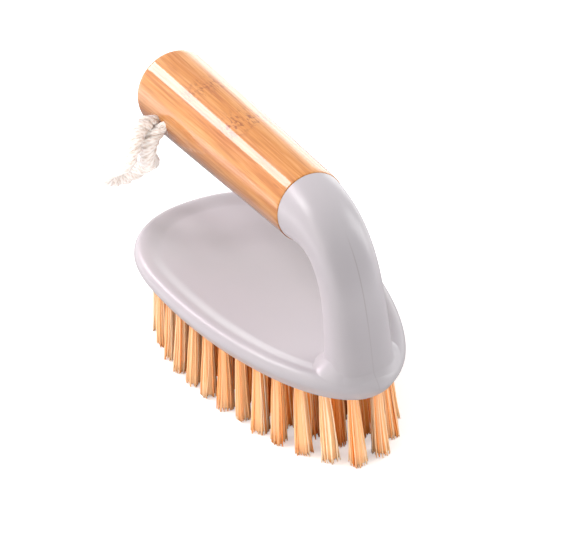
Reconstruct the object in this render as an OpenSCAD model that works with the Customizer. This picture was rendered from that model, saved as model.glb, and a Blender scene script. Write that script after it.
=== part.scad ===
// Scrub brush: flat-iron shaped plastic head with a swept-back neck, a turned bamboo handle,
// stiff bristle tufts in rings and a cotton hanging loop.
// +X is the pointed front, +Y the left side, +Z up. The bristle tips stand on z = 0.

/* [Head] */
// Length of the head, back to front
head_l = 145; // [130:1:165]
// Width of the head at its widest
head_w = 76; // [68:1:88]
// Distance from the back of the head to its widest place
wide_at = 47; // [40:0.5:56]
// Fullness of the rounded back, where 2 is an ellipse
tail_power = 2.34; // [2:0.02:2.6]
// Fullness of the pointed front, where 2 is an ellipse
nose_power = 1.92; // [1.8:0.02:2.2]
// Height of the head, from its lower edge to the top of its rim
rim_h = 8; // [7:0.5:11]
// Radius of the rim's outer round
rim_round = 4; // [2.5:0.5:5]
// How far the wall draws in towards its lower edge
wall_draft = 2; // [1:0.25:3]
// Thickness of the wall
wall_t = 2; // [1.6:0.2:2.6]
// Depth of the dish below the rim
dish_depth = 1.8; // [1:0.2:2.4]
// Width of the slope from the rim into the dish
dish_slope = 7; // [5:0.5:10]
// Thickness of the roof under the dish
roof_t = 2.2; // [1.8:0.2:2.6]

/* [Neck] */
// Distance from the front of the head back to the middle of the neck's foot
foot_back = 13.2; // [12.5:0.1:16]
// Width of the neck at its end, under the handle's edge
neck_end_d = 25; // [23.5:0.25:25.2]
// Width of the neck at half height
neck_mid_w = 20.6; // [18:0.2:23]
// Depth of the neck at half height, front to back
neck_mid_d = 16.4; // [14:0.2:19]
// Width of the neck at its foot
neck_foot_w = 23; // [20:0.5:25]
// Depth of the neck at its foot, front to back
neck_foot_d = 20.4; // [18:0.2:22]
// How squared the section is at the foot, where 2 is an ellipse
neck_power = 2.6; // [2:0.1:3]
// How far the neck runs straight on from the handle before it turns down
neck_reach = 22; // [16:1:26]
// How far above its foot the neck starts to lean back
neck_rise = 36; // [28:1:40]
// Radius of the fillet round the foot
foot_fillet = 3.2; // [1.5:0.1:3.4]
// Width of the hollow that cores the neck from below
neck_core_d = 9; // [6:0.5:10]
// Depth of that hollow above the roof
neck_core_h = 24; // [12:1:26]

/* [Handle] */
// Height of the handle's centreline above the bristle tips
axis_h = 83.5; // [78:0.5:92]
// Distance from the head's front back to the joint of neck and handle
joint_back = 41.5; // [39:0.5:46]
// Length of the bamboo handle
handle_l = 108; // [95:0.5:120]
// Diameter of the handle at the neck
handle_root_d = 25.6; // [25.4:0.2:28]
// Diameter of the handle at its free end
handle_end_d = 32; // [29:0.2:34]
// Radius of the round at the free end
end_round = 3; // [1.5:0.25:5]
// Chamfer of the handle's edge at the neck
edge_break = 0.5; // [0.3:0.1:0.8]
// Diameter of the spigot inside the handle
spigot_d = 16; // [14:0.5:18]
// Length of the spigot inside the handle
spigot_l = 28; // [22:1:34]
// Diameter of the hollow in the spigot
spigot_core_d = 8; // [6:0.5:9]
// Clearance of the spigot in its bore
spigot_gap = 0.1; // [0.05:0.05:0.2]
// Distance from the neck to the screw that holds the handle
screw_at = 12; // [9:0.5:15]
// Diameter of the screw's shank
screw_d = 3; // [2.5:0.25:3.5]
// Diameter of the screw's head
screw_head_d = 6; // [5:0.25:6.5]

/* [Hanging loop] */
// Diameter of the cotton rope
rope_d = 4.5; // [4:0.1:4.7]
// Diameter of the blind cross hole for the rope
rope_hole_d = 10; // [9.8:0.2:11]
// Depth of the cross hole from the handle's surface
rope_hole_depth = 16; // [14:0.5:18]
// Distance from the free end to the middle of the cross hole
rope_hole_at = 21.5; // [18:0.5:25]
// Angle at which the cross hole points below the horizontal
rope_hole_tilt = 5; // [0:1:20]
// Bevel at the mouth of the cross hole
mouth_bevel = 1.6; // [0.8:0.2:2]

/* [Bristles] */
// Free length of the bristles below the plate
trim = 28; // [22:0.5:32]
// Thickness of the plate that holds the tufts
plate_t = 6; // [5.6:0.2:7]
// Clearance of the plate inside the head's wall
plate_gap = 0.15; // [0.1:0.05:0.3]
// Diameter of a tuft hole
tuft_hole_d = 4.6; // [4.2:0.1:5]
// Depth of a tuft hole
tuft_hole_depth = 4.8; // [4.2:0.1:5]
// Clearance of a tuft in its hole
tuft_gap = 0.05; // [0.02:0.01:0.1]
// Diameter of a tuft at its tips
tuft_tip_d = 6.2; // [5:0.2:7]
// How far the outer tufts lean outwards at their tips
outer_lean = 2.2; // [0:0.2:3]
// How far the tips of a tuft wander from a true ring
tip_wander = 0.7; // [0:0.1:0.9]
// Tufts in the outer ring
outer_count = 32; // [26:1:34]
// Tufts in the second ring
second_count = 24; // [18:1:26]
// Tufts in the third ring
third_count = 17; // [12:1:19]
// Tufts in the middle row
middle_count = 7; // [4:1:7]
// Distance from the head's edge in to the outer ring
outer_inset = 8.2; // [7.8:0.1:9]
// Distance between rings of tufts
ring_step = 9.2; // [8.8:0.1:9.6]
// Thickness of a staple's wire
staple_t = 0.5; // [0.3:0.1:0.7]
// Height of a staple, along the hole
staple_h = 1.8; // [1.4:0.1:2]
// How far each end of a staple bites into the side of its hole
staple_bite = 0.4; // [0.2:0.1:0.6]

/* [Hidden] */
overlap = 0.01;
around = 72;

// Places along X, from the middle of the object's length
reach_back = joint_back + handle_l;
front_x = max(reach_back, head_l) / 2;
back_x = front_x - head_l;
wide_x = back_x + wide_at;
tail_l = wide_at;
nose_l = head_l - wide_at;
joint_x = front_x - joint_back;
foot_x = front_x - foot_back;
free_x = joint_x - handle_l;
rope_x = free_x + rope_hole_at;

// Heights
plate_z = trim;
cavity_z = plate_z + plate_t;
dish_z = cavity_z + roof_t;
rim_z = dish_z + dish_depth;
edge_z = rim_z - rim_h;

// The head's outline drawn in by d, at angle t round it
function side(v) = v < 0 ? -1 : 1;
function bend(v, power) = side(v) * pow(abs(v), 2 / power);
function end_power(t) = cos(t) < 0 ? tail_power : nose_power;
function end_length(t) = cos(t) < 0 ? tail_l : nose_l;
nose_draw = 1.15;
function end_draw(t) = cos(t) < 0 ? 1 : nose_draw;
function outline(t, d) = [
    wide_x + (end_length(t) - d * end_draw(t)) * bend(cos(t), end_power(t)),
    (head_w / 2 - d) * bend(sin(t), end_power(t))
];
function outline_points(d, n) = [for (i = [0:n - 1]) outline(i * 360 / n, d)];
function at_height(points, z) = [for (p = points) [p[0], p[1], z]];

// A closed solid through a list of rings, each with the same number of points
module loft(rings) {
    n = len(rings[0]);
    last = len(rings) - 1;
    bands = [for (j = [0:last - 1], i = [0:n - 1], half = [0, 1])
        let (a = j * n + i, b = j * n + (i + 1) % n)
        half == 0 ? [a, b, b + n] : [a, b + n, a + n]];
    first_cap = [[for (i = [0:n - 1]) n - 1 - i]];
    last_cap = [[for (i = [0:n - 1]) last * n + i]];
    polyhedron([for (ring = rings, p = ring) p], concat(first_cap, bands, last_cap));
}

// Head: the skin from the dish over the rim, down the wall and up inside to the roof
slope_steps = 5;
round_steps = 5;
ridge_in = rim_round;
function slope_in(k) = ridge_in + dish_slope * (1 - k / slope_steps);
function slope_z(k) = let (u = k / slope_steps) dish_z + dish_depth * u * u * (3 - 2 * u);
function round_in(k) = let (a = 90 * k / round_steps) rim_round * (1 - sin(a));
function round_z(k) = let (a = 90 * k / round_steps) rim_z - rim_round * (1 - cos(a));
head_rings = concat(
    [for (k = [0:slope_steps]) [slope_in(k), slope_z(k)]],
    [for (k = [1:round_steps]) [round_in(k), round_z(k)]],
    [[wall_draft, edge_z], [wall_draft + wall_t, edge_z], [wall_draft + wall_t, cavity_z]]
);
module head_skin() {
    loft([for (r = head_rings) at_height(outline_points(r[0], around), r[1])]);
}

// Neck: one sweep along a curve that runs forward from the handle and turns down into the head
neck_steps = 26;
neck_around = 36;
foot_z = cavity_z + roof_t / 2;
curve_points = [
    [joint_x, axis_h],
    [joint_x + neck_reach, axis_h],
    [foot_x, foot_z + neck_rise],
    [foot_x, foot_z]
];
function curve(t) = let (s = 1 - t)
    s * s * s * curve_points[0] + 3 * s * s * t * curve_points[1]
    + 3 * s * t * t * curve_points[2] + t * t * t * curve_points[3];
function unit(v) = v / norm(v);
function curve_way(t) = let (e = 0.001, a = max(0, t - e), b = min(1, t + e)) unit(curve(b) - curve(a));
// A size that goes smoothly through its end, middle and foot values
function through(t, start, middle, foot) =
    start * (1 - t) * (1 - 2 * t) + 4 * middle * t * (1 - t) + foot * t * (2 * t - 1);
// The foot's fillet: how far the section has spread at height z
fillet_z = dish_z + foot_fillet;
function spread(z) = z > fillet_z ? 0
    : foot_fillet - sqrt(max(0, foot_fillet * foot_fillet - pow(min(foot_fillet, fillet_z - z), 2)));
// The fillet is smaller in front, where the foot meets the rim
front_share = 0.35;
function spread_share(a) = cos(a) > 0 ? 1 - (1 - front_share) * cos(a) : 1;
function section_power(t) = 2 + (neck_power - 2) * min(1, 2 * t);
function neck_ring(t) =
    let (
        c = curve(t),
        way = curve_way(t),
        out = [-way[1], way[0]],
        half_d = through(t, neck_end_d, neck_mid_d, neck_foot_d) / 2,
        half_w = through(t, neck_end_d, neck_mid_w, neck_foot_w) / 2,
        power = section_power(t)
    )
    [for (i = [0:neck_around - 1])
        let (
            a = i * 360 / neck_around,
            more = spread(c[1]) * spread_share(a),
            u = (half_d + more) * bend(cos(a), power),
            v = (half_w + more) * bend(sin(a), power)
        )
        [c[0] + u * out[0], v, c[1] + u * out[1]]];
// Rings lie closer together in the fillet
fillet_from = 0.86;
neck_ts = concat(
    [for (k = [0:neck_steps - 8]) fillet_from * k / (neck_steps - 8)],
    [for (k = [1:8]) fillet_from + (1 - fillet_from) * k / 8]
);
module neck_skin() {
    loft([for (t = neck_ts) neck_ring(t)]);
}

// Turns what follows so that its Z runs from the joint back along the handle
module along_handle() {
    translate([joint_x, 0, axis_h])
        rotate([0, -90, 0])
            children();
}

spigot_break = 1;
module spigot() {
    spigot_r = spigot_d / 2;
    along_handle()
        rotate_extrude($fn = 64)
            polygon([
                [0, -overlap], [spigot_r, -overlap], [spigot_r, spigot_l - spigot_break],
                [spigot_r - spigot_break, spigot_l], [0, spigot_l]
            ]);
}

core_taper = 1;
core_floor = 4;
module neck_core() {
    low = curve(1);
    high = curve(0.55);
    lean = atan2(high[0] - low[0], high[1] - low[1]);
    translate([low[0], 0, cavity_z])
        rotate([0, lean, 0])
            translate([0, 0, -core_floor])
                cylinder(
                    h = neck_core_h + roof_t + core_floor,
                    d1 = neck_core_d + core_taper, d2 = neck_core_d - core_taper, $fn = 48
                );
}

screw_x = joint_x - screw_at;
function handle_r(from_joint) =
    (handle_root_d + (handle_end_d - handle_root_d) * from_joint / handle_l) / 2;
screw_sink = 0.4;
screw_z = axis_h - handle_r(screw_at) + screw_sink;
screw_cone = 1.8;
screw_l = 10;
pilot_d = screw_d - 0.6;

module head_shell() {
    color("#d3cbc7")
        difference() {
            union() {
                head_skin();
                neck_skin();
                spigot();
            }
            neck_core();
            along_handle()
                translate([0, 0, spigot_l - spigot_core_l])
                    cylinder(h = spigot_core_l + 1, d = spigot_core_d, $fn = 48);
            translate([screw_x, 0, axis_h - spigot_d / 2 - 1])
                cylinder(h = spigot_d / 2 + 1, d = pilot_d, $fn = 32);
        }
}
spigot_core_l = spigot_l - 4;

// Plate: its outline follows the head's, and each tuft has a blind hole in it
plate_in = wall_draft + wall_t + plate_gap;
module bristle_plate() {
    color("#cfc7c2")
        difference() {
            translate([0, 0, plate_z])
                linear_extrude(plate_t)
                    polygon(outline_points(plate_in, around));
            for (p = all_spots)
                translate([p[0], p[1], plate_z - 1])
                    cylinder(h = tuft_hole_depth + 1, d = tuft_hole_d, $fn = 32);
        }
}

// Tuft places: equal steps along a ring that follows the outline, with none on the point
walk = 240;
function running(points, i = 0, sum = 0, out = []) =
    i > len(points) ? out
    : running(
        points, i + 1,
        i == len(points) ? sum : sum + norm(points[(i + 1) % len(points)] - points[i]),
        concat(out, [sum])
    );
function find_step(lengths, s, i = 0) =
    i >= len(lengths) - 2 || lengths[i + 1] > s ? i : find_step(lengths, s, i + 1);
function ring_spots(d, count) =
    let (points = outline_points(d, walk), lengths = running(points), total = lengths[walk])
    [for (k = [0:count - 1])
        let (
            s = (k + 0.5) * total / count,
            i = find_step(lengths, s),
            u = (s - lengths[i]) / (lengths[i + 1] - lengths[i]),
            a = points[i],
            b = points[(i + 1) % walk]
        )
        a + (b - a) * u];
outer_spots = ring_spots(outer_inset, outer_count);
second_spots = ring_spots(outer_inset + ring_step, second_count);
third_spots = ring_spots(outer_inset + 2 * ring_step, third_count);
// The middle row lies on the centreline, inside the third ring
row_in = outer_inset + 3 * ring_step;
row_back = back_x + row_in;
row_front = front_x - nose_draw * row_in - ring_step;
middle_spots = [for (k = [0:middle_count - 1])
    [row_back + (row_front - row_back) * k / (middle_count - 1), 0]];
all_spots = concat(outer_spots, second_spots, third_spots, middle_spots);

// Tufts: each is a root in its hole and five three-sided strands, cut level at z = 0
strands = 5;
root_r = tuft_hole_d / 2 - tuft_gap;
root_top = plate_z + tuft_hole_depth - staple_h;
strand_share = 0.8;
tip_share = 0.86;
sector = 360 / strands;
function on_circle(r, a) = [r * cos(a), r * sin(a)];
// The corners of strand k, shrunk about their middle by a share of the sector
function strand_corners(r, turn, k, share) =
    let (
        corners = [[0, 0], on_circle(r, turn + k * sector), on_circle(r, turn + (k + 1) * sector)],
        middle = (corners[0] + corners[1] + corners[2]) / 3
    )
    [for (c = corners) middle + (c - middle) * share];
function lift(points, base, z) = [for (p = points) [base[0] + p[0], base[1] + p[1], z]];
function tuft_points(spot, tip, turn) = concat(
    lift([for (k = [0:strands - 1]) on_circle(root_r, turn + k * sector)], spot, root_top),
    lift([[0, 0]], spot, root_top),
    lift([for (k = [0:strands - 1]) on_circle(root_r, turn + k * sector)], spot, plate_z),
    lift([[0, 0]], spot, plate_z),
    [for (k = [0:strands - 1]) each lift(strand_corners(root_r, turn, k, strand_share), spot, plate_z)],
    [for (k = [0:strands - 1]) each lift(strand_corners(tuft_tip_d / 2, turn, k, tip_share), tip, 0)]
);
tuft_size = 2 * (strands + 1) + 6 * strands;
low_middle = 2 * strands + 1;
first_root = 2 * (strands + 1);
first_tip = first_root + 3 * strands;
function strand_faces(k) =
    let (
        b0 = low_middle,
        b1 = strands + 1 + k,
        b2 = strands + 1 + (k + 1) % strands,
        r = first_root + 3 * k,
        p = first_tip + 3 * k
    )
    [
        [b0, b1, r + 1], [b0, r + 1, r], [b1, b2, r + 2], [b1, r + 2, r + 1], [b2, b0, r], [b2, r, r + 2],
        [p, r, r + 1], [p, r + 1, p + 1], [p + 1, r + 1, r + 2], [p + 1, r + 2, p + 2],
        [p + 2, r + 2, r], [p + 2, r, p], [p, p + 1, p + 2]
    ];
function root_faces(k) =
    let (next = (k + 1) % strands, low = strands + 1)
    [[strands, next, k], [low + k, k, next], [low + k, next, low + next]];
tuft_faces = [for (k = [0:strands - 1]) each concat(root_faces(k), strand_faces(k))];

// Tips lean outwards by a share of their ring's lean, and wander a little
outward_seed = 5;
function outward(spot) = unit([(spot[0] - wide_x) / nose_l, spot[1] / (head_w / 2)] + [0, overlap]);
function tips(spots, lean, seed) =
    let (dx = rands(-tip_wander, tip_wander, len(spots), seed), dy = rands(-tip_wander, tip_wander, len(spots), seed + 1))
    [for (i = [0:len(spots) - 1]) spots[i] + lean * outward(spots[i]) + [dx[i], dy[i]]];
module tufts(spots, lean, seed) {
    ends = tips(spots, lean, seed);
    turns = rands(0, sector, len(spots), seed + 2);
    polyhedron(
        [for (i = [0:len(spots) - 1]) each tuft_points(spots[i], ends[i], turns[i])],
        [for (i = [0:len(spots) - 1], f = tuft_faces) [for (v = f) v + i * tuft_size]]
    );
}
module staples(spots, seed) {
    turns = rands(0, 180, len(spots), seed);
    staple_l = tuft_hole_d + 2 * staple_bite;
    for (i = [0:len(spots) - 1])
        translate([spots[i][0], spots[i][1], root_top])
            rotate([0, 0, turns[i]])
                translate([-staple_l / 2, -staple_t / 2, 0])
                    cube([staple_l, staple_t, staple_h]);
}
module outer_tufts() { color("#f2b878") tufts(outer_spots, outer_lean, 11); }
module second_tufts() { color("#e0954c") tufts(second_spots, outer_lean / 2, 21); }
module third_tufts() { color("#d98b42") tufts(third_spots, outer_lean / 4, 31); }
module middle_tufts() { color("#d07f38") tufts(middle_spots, 0, 41); }
module outer_staples() { color("silver") staples(outer_spots, 51); }
module second_staples() { color("silver") staples(second_spots, 52); }
module third_staples() { color("silver") staples(third_spots, 53); }
module middle_staples() { color("silver") staples(middle_spots, 54); }

// Handle: a turned taper with a rounded free end and a blind bore for the spigot
end_steps = 6;
bore_spare = 1;
handle_profile = concat(
    [[0, 0], [handle_root_d / 2 - edge_break, 0], [handle_root_d / 2, edge_break]],
    [for (k = [0:end_steps])
        let (a = 90 * k / end_steps)
        [handle_end_d / 2 - end_round * (1 - cos(a)), handle_l - end_round * (1 - sin(a))]],
    [[0, handle_l]]
);
// Turns what follows so that its Z points out of the rope's cross hole
module out_of_mouth() {
    translate([rope_x, 0, axis_h])
        rotate([90 + rope_hole_tilt, 0, 0])
            children();
}
mouth_r = handle_r(handle_l - rope_hole_at);
module bamboo_handle() {
    color("#e39a52")
        difference() {
            along_handle()
                rotate_extrude($fn = 96)
                    polygon(handle_profile);
            along_handle()
                translate([0, 0, -1])
                    cylinder(h = spigot_l + bore_spare + 1, d = spigot_d + 2 * spigot_gap, $fn = 64);
            out_of_mouth()
                translate([0, 0, mouth_r - rope_hole_depth])
                    cylinder(h = rope_hole_depth + 2, d = rope_hole_d, $fn = 64);
            out_of_mouth()
                translate([0, 0, mouth_r - mouth_bevel])
                    cylinder(
                        h = 2 * mouth_bevel, d1 = rope_hole_d, d2 = rope_hole_d + 4 * mouth_bevel, $fn = 64
                    );
            translate([screw_x, 0, screw_z - screw_sink - 1])
                cylinder(h = spigot_d, d = screw_d + 2 * spigot_gap, $fn = 32);
            translate([screw_x, 0, screw_z - screw_sink - 1])
                cylinder(h = screw_sink + 1, d = screw_head_d + 2 * spigot_gap, $fn = 32);
            translate([screw_x, 0, screw_z])
                cylinder(
                    h = screw_cone, d1 = screw_head_d + 2 * spigot_gap, d2 = screw_d + 2 * spigot_gap, $fn = 32
                );
        }
}

recess_w = 0.8;
recess_l = 3.4;
recess_depth = 0.9;
module handle_screw() {
    color("#c9c9cc")
        translate([screw_x, 0, screw_z])
            difference() {
                rotate_extrude($fn = 32)
                    polygon([
                        [0, 0], [screw_head_d / 2, 0], [screw_d / 2, screw_cone],
                        [screw_d / 2, screw_l - screw_d / 2], [0, screw_l]
                    ]);
                translate([-recess_l / 2, -recess_w / 2, -1])
                    cube([recess_l, recess_w, recess_depth + 1]);
                translate([-recess_w / 2, -recess_l / 2, -1])
                    cube([recess_w, recess_l, recess_depth + 1]);
            }
}

// Rope: one doubled length that hangs from the mouth of the cross hole, with both ends held in the hole.
// The free points are counted from the mouth's middle.
rope_sides = 8;
leg_apart = 2.45;
function turned(v) = [
    v[0],
    v[1] * cos(90 + rope_hole_tilt) - v[2] * sin(90 + rope_hole_tilt),
    v[1] * sin(90 + rope_hole_tilt) + v[2] * cos(90 + rope_hole_tilt)
];
mouth = [rope_x, 0, axis_h] + turned([0, 0, mouth_r]);
free_route = [
    [-2, -1.4, 0.5], [-1.3, -4.4, 1], [-0.1, -7.2, 1.1], [1.4, -9.8, 0.3],
    [3, -11.9, -1.3], [4, -13.6, -3.6], [4.2, -15, -6.4], [3.4, -16.3, -9],
    [1.6, -17.3, -11.3], [-0.9, -17.9, -13], [-3.6, -18.4, -14.5], [-6.1, -19, -16.1],
    [-8.6, -19.6, -17.8], [-11, -19.9, -19.7], [-13.4, -19.9, -21.7], [-15.5, -19, -23.8],
    [-17.1, -17.2, -25.7], [-18.2, -14.7, -27.1], [-18.7, -11.8, -27.8], [-18.6, -8.7, -27.6],
    [-17.8, -5.9, -26.7], [-16.5, -3.6, -25.1], [-14.6, -2.1, -23.2], [-12.2, -1.6, -21.3],
    [-9.6, -2, -19.6], [-7.1, -2.9, -18.2], [-4.6, -4.1, -16.8], [-2.3, -5.3, -15.2],
    [-0.5, -6.5, -13], [0.8, -7.1, -10.2], [1.6, -6.9, -7.3], [2.2, -5.7, -4.5],
    [2.5, -3.6, -2.3], [2.5, -1, -0.7]
];
route = concat(
    [for (back = [rope_hole_depth, rope_hole_depth / 2, 0]) mouth + turned([-leg_apart, 0, -back])],
    [for (p = free_route) mouth + p],
    [for (back = [0, rope_hole_depth / 2, rope_hole_depth]) mouth + turned([leg_apart, 0, -back])]
);
function way(i) = unit(route[min(i + 1, len(route) - 1)] - route[max(i - 1, 0)]);
function squared(n, w) = unit(n - (n * w) * w);
function side_ways(i = 0, n = [1, 0, 0], out = []) =
    i == len(route) ? out
    : let (m = squared(n, way(i))) side_ways(i + 1, m, concat(out, [m]));
route_sides = side_ways();
module rope_loop() {
    color("#efe8dc")
        loft([for (i = [0:len(route) - 1])
            [for (k = [0:rope_sides - 1])
                let (a = -k * 360 / rope_sides)
                route[i] + rope_d / 2 * (cos(a) * route_sides[i] + sin(a) * cross(way(i), route_sides[i]))]]);
}

// Facts worked out from the sizes
function least_step(spots) = min([for (i = [0:len(spots) - 1]) norm(spots[i] - spots[(i + 1) % len(spots)])]);
echo(strands = strands * len(all_spots), tufts = len(all_spots));
echo(outer_pitch = least_step(outer_spots), second = least_step(second_spots), third = least_step(third_spots));
function nearest(a, b) = min([for (p = a, q = b) norm(p - q)]);
echo(rings_apart = [
    nearest(outer_spots, second_spots), nearest(second_spots, third_spots), nearest(third_spots, middle_spots)
]);
function route_length(i = 0) = i >= len(route) - 1 ? 0 : norm(route[i + 1] - route[i]) + route_length(i + 1);
echo(rope_length = route_length(), mouth = mouth);
echo(heights = [edge_z, dish_z, rim_z], ends = [free_x, front_x], foot = foot_x);

head_shell();
bristle_plate();
bamboo_handle();
handle_screw();
rope_loop();
outer_tufts();
second_tufts();
third_tufts();
middle_tufts();
outer_staples();
second_staples();
third_staples();
middle_staples();
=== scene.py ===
"""Scrub brush with a moulded plastic head, a bamboo handle, stiff bristles and a cotton hanging loop.

Everything is built in the row frame: +X is the pointed front, +Y the left side, +Z up, and the bristle
tips stand on z = 0. Sizes are in millimetres in the dataclasses and become metres when a mesh is made.
"""
import logging
import math
from dataclasses import dataclass
from enum import Enum

import bpy
import numpy as np
from mathutils import Matrix


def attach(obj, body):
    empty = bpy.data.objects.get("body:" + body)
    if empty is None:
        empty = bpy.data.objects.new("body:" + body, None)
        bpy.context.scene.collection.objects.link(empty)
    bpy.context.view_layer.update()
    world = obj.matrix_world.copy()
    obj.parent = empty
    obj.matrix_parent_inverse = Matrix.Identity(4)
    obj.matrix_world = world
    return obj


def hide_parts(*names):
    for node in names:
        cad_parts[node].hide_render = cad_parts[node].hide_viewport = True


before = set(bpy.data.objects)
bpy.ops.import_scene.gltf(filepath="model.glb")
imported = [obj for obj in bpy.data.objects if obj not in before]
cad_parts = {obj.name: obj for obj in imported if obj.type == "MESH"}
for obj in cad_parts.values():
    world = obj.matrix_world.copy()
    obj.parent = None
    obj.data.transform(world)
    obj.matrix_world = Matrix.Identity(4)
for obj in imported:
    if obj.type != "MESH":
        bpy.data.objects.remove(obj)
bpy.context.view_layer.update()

MM = 0.001
BODY = "root"
TURN = 2 * math.pi
log = logging.getLogger("scrub_brush")

Socket = bpy.types.NodeSocket
Node = bpy.types.Node
Triple = tuple[float, float, float]


# Sizes


@dataclass(frozen=True)
class HeadSize:
    """The moulded head, in millimetres."""

    length: float = 145.0
    width: float = 76.0
    wide_at: float = 47.0
    tail_power: float = 2.34
    nose_power: float = 1.92
    nose_draw: float = 1.15
    edge_z: float = 30.0
    edge_break: float = 0.35
    dish_z: float = 36.2
    rim_z: float = 38.0
    cavity_z: float = 34.0
    rim_round: float = 4.0
    wall_draft: float = 2.0
    wall_t: float = 2.0
    dish_slope: float = 7.0
    front_x: float = 74.75

    @property
    def wide_x(self) -> float:
        """Where the head is widest, along X."""
        return self.front_x - self.length + self.wide_at

    @property
    def nose_l(self) -> float:
        """Length from the widest place to the point."""
        return self.length - self.wide_at


@dataclass(frozen=True)
class NeckSize:
    """The neck's centre curve and sections, and the spigot at its end, in millimetres."""

    joint_x: float = 33.25
    axis_z: float = 83.5
    foot_x: float = 61.55
    foot_z: float = 35.1
    reach: float = 22.0
    rise: float = 36.0
    end_d: float = 25.0
    mid_w: float = 20.6
    mid_d: float = 16.4
    foot_w: float = 23.0
    foot_d: float = 20.4
    power: float = 2.6
    foot_round: float = 4.16
    front_share: float = 0.35
    spigot_r: float = 8.0
    spigot_l: float = 28.0
    spigot_bore_r: float = 4.0


@dataclass(frozen=True)
class HandleSize:
    """The turned handle, its bore and its cross hole, in millimetres."""

    joint_x: float = 33.25
    axis_z: float = 83.5
    length: float = 108.0
    root_d: float = 25.6
    end_d: float = 32.0
    end_round: float = 3.0
    edge_break: float = 0.5
    bore_r: float = 8.1
    bore_l: float = 29.0
    hole_d: float = 10.0
    hole_depth: float = 16.0
    hole_at: float = 21.5
    hole_tilt: float = 5.0
    mouth_bevel: float = 1.6

    def radius(self, from_joint: float) -> float:
        """Radius of the taper at a distance from the joint."""
        return (self.root_d + (self.end_d - self.root_d) * from_joint / self.length) / 2

    @property
    def hole_x(self) -> float:
        """Where the cross hole's middle is, along X."""
        return self.joint_x - self.length + self.hole_at

    @property
    def hole_way(self) -> np.ndarray:
        """Unit vector out of the cross hole's mouth."""
        tilt = math.radians(self.hole_tilt)
        return np.array([0.0, -math.cos(tilt), -math.sin(tilt)])

    @property
    def mouth(self) -> np.ndarray:
        """The middle of the cross hole's mouth."""
        middle = np.array([self.hole_x, 0.0, self.axis_z])
        return middle + self.hole_way * self.radius(self.length - self.hole_at)


@dataclass(frozen=True)
class RopeSize:
    """The cotton rope, in millimetres; its free points are counted from the mouth's middle."""

    diameter: float = 4.5
    legs_apart: float = 2.45
    turn_length: float = 12.0
    free: tuple[Triple, ...] = (
        (-2.0, -1.4, 0.5), (-1.3, -4.4, 1.0), (-0.1, -7.2, 1.1), (1.4, -9.8, 0.3),
        (3.0, -11.9, -1.3), (4.0, -13.6, -3.6), (4.2, -15.0, -6.4), (3.4, -16.3, -9.0),
        (1.6, -17.3, -11.3), (-0.9, -17.9, -13.0), (-3.6, -18.4, -14.5), (-6.1, -19.0, -16.1),
        (-8.6, -19.6, -17.8), (-11.0, -19.9, -19.7), (-13.4, -19.9, -21.7), (-15.5, -19.0, -23.8),
        (-17.1, -17.2, -25.7), (-18.2, -14.7, -27.1), (-18.7, -11.8, -27.8), (-18.6, -8.7, -27.6),
        (-17.8, -5.9, -26.7), (-16.5, -3.6, -25.1), (-14.6, -2.1, -23.2), (-12.2, -1.6, -21.3),
        (-9.6, -2.0, -19.6), (-7.1, -2.9, -18.2), (-4.6, -4.1, -16.8), (-2.3, -5.3, -15.2),
        (-0.5, -6.5, -13.0), (0.8, -7.1, -10.2), (1.6, -6.9, -7.3), (2.2, -5.7, -4.5),
        (2.5, -3.6, -2.3), (2.5, -1.0, -0.7),
    )


@dataclass(frozen=True)
class TuftRing:
    """One ring or row of tufts, and how its filaments are laid."""

    node: str
    inset: float
    count: int
    lean: float
    filaments: int
    seed: int
    # The ring's tone; set low on the inner rings as painted shade between the tufts.
    tone: float


@dataclass(frozen=True)
class TuftSize:
    """What all tufts share, in millimetres."""

    root_z: float = 31.0
    root_r: float = 2.1
    tip_r: float = 3.15
    inset: float = 8.2
    step: float = 9.2
    filament_d: float = 0.55
    wander: float = 0.7


HEAD = HeadSize()
NECK = NeckSize()
HANDLE = HandleSize()
ROPE = RopeSize()
TUFT = TuftSize()
# node, inset, count, lean, filaments, seed, and the ring's tone by name, set low on the inner rings as
# painted shade in the gaps between the tufts
RINGS = (
    TuftRing("outer_tufts", TUFT.inset, 32, 2.2, 78, 11, tone=0.56),
    TuftRing("second_tufts", TUFT.inset + TUFT.step, 24, 1.1, 60, 21, tone=0.12),
    TuftRing("third_tufts", TUFT.inset + 2 * TUFT.step, 17, 0.55, 42, 31, tone=0.12),
    TuftRing("middle_tufts", TUFT.inset + 3 * TUFT.step, 7, 0.0, 42, 41, tone=0.12),
)


# Helpers


def linear(hex_colour: str) -> tuple[float, float, float, float]:
    """Turns an sRGB hex colour into linear RGBA.

    Args:
        hex_colour: Six hexadecimal digits.

    Returns:
        Linear red, green, blue and an alpha of 1.
    """
    channels = [int(hex_colour[i : i + 2], 16) / 255 for i in (0, 2, 4)]
    made = [c / 12.92 if c <= 0.04045 else ((c + 0.055) / 1.055) ** 2.4 for c in channels]
    return made[0], made[1], made[2], 1.0


def unit(vectors: np.ndarray) -> np.ndarray:
    """Vectors of length 1 along the last axis."""
    return vectors / np.linalg.norm(vectors, axis=-1, keepdims=True)


def around(count: int) -> np.ndarray:
    """Even angles round a full turn, in radians."""
    return np.linspace(0, TURN, count, endpoint=False)


def squared(values: np.ndarray, power: float | np.ndarray) -> np.ndarray:
    """A sine or cosine reshaped for a superellipse: sign(v) |v|^(2 / power)."""
    return np.sign(values) * np.abs(values) ** (2 / power)


def quarter(steps: int) -> np.ndarray:
    """Even angles from 0 to a quarter turn, in radians."""
    return np.radians(np.linspace(0, 90, steps))


def circle(angles: np.ndarray) -> np.ndarray:
    """Cosine and sine of angles, side by side."""
    return np.stack([np.cos(angles), np.sin(angles)], -1)


def swung(first: np.ndarray, second: np.ndarray, turn: np.ndarray) -> np.ndarray:
    """A direction turned from one to another: first cos(turn) + second sin(turn)."""
    return first * np.cos(turn)[:, None] + second * np.sin(turn)[:, None]


def headings(line: np.ndarray) -> np.ndarray:
    """The direction of a line at each of its points."""
    return unit(np.gradient(line, axis=0))


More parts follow.
